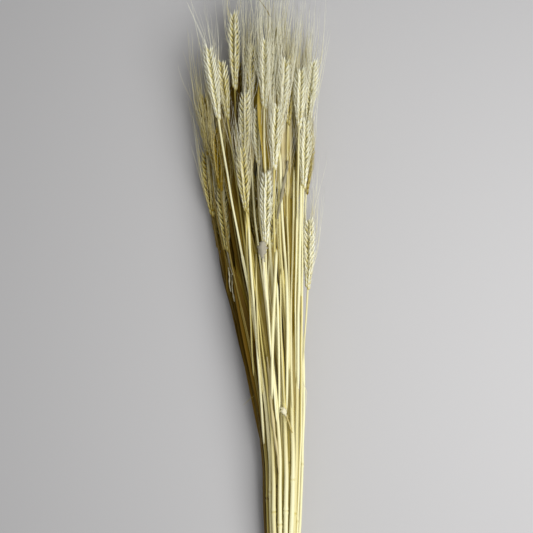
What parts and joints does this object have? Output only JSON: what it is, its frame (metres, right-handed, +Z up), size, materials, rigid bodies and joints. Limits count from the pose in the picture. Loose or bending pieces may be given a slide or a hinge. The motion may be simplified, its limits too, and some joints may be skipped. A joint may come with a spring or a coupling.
{
  "type": "dried barley bunch",
  "caption": "Tied bunch of dried bearded barley, lying on its side, with long straw stems, ears in rows of kernels and fine awns.",
  "frame": {"origin": "on the surface that the bunch lies on, under the middle of its bounding box", "axes": "+Y along the bunch from the cut ends to the ears, +Z up out of the surface, +X to the right seen from above with the ears away"},
  "size_m": [0.1674, 0.7622, 0.0827],
  "materials": {
    "straw": "satin",
    "raffia": "matte"
  },
  "bodies": {
    "root": {"stalk_01": "straw", "stalk_02": "straw", "stalk_03": "straw", "stalk_04": "straw", "stalk_05": "straw", "stalk_06": "straw", "stalk_07": "straw", "stalk_08": "straw", "stalk_09": "straw", "stalk_10": "straw", "stalk_11": "straw", "stalk_12": "straw", "stalk_13": "straw", "stalk_14": "straw", "stalk_15": "straw", "stalk_16": "straw", "stalk_17": "straw", "stalk_18": "straw", "stalk_19": "straw", "stalk_20": "straw", "stalk_21": "straw", "stalk_22": "straw", "stalk_23": "straw", "stalk_24": "straw", "stalk_25": "straw", "stalk_26": "straw", "stalk_27": "straw", "stalk_28": "straw", "stalk_29": "straw", "stalk_30": "straw", "stalk_31": "straw", "stalk_32": "straw", "stalk_33": "straw", "stalk_34": "straw", "stalk_35": "straw", "stalk_36": "straw", "stalk_37": "straw", "tie": "raffia"}
  },
  "joints": []
}
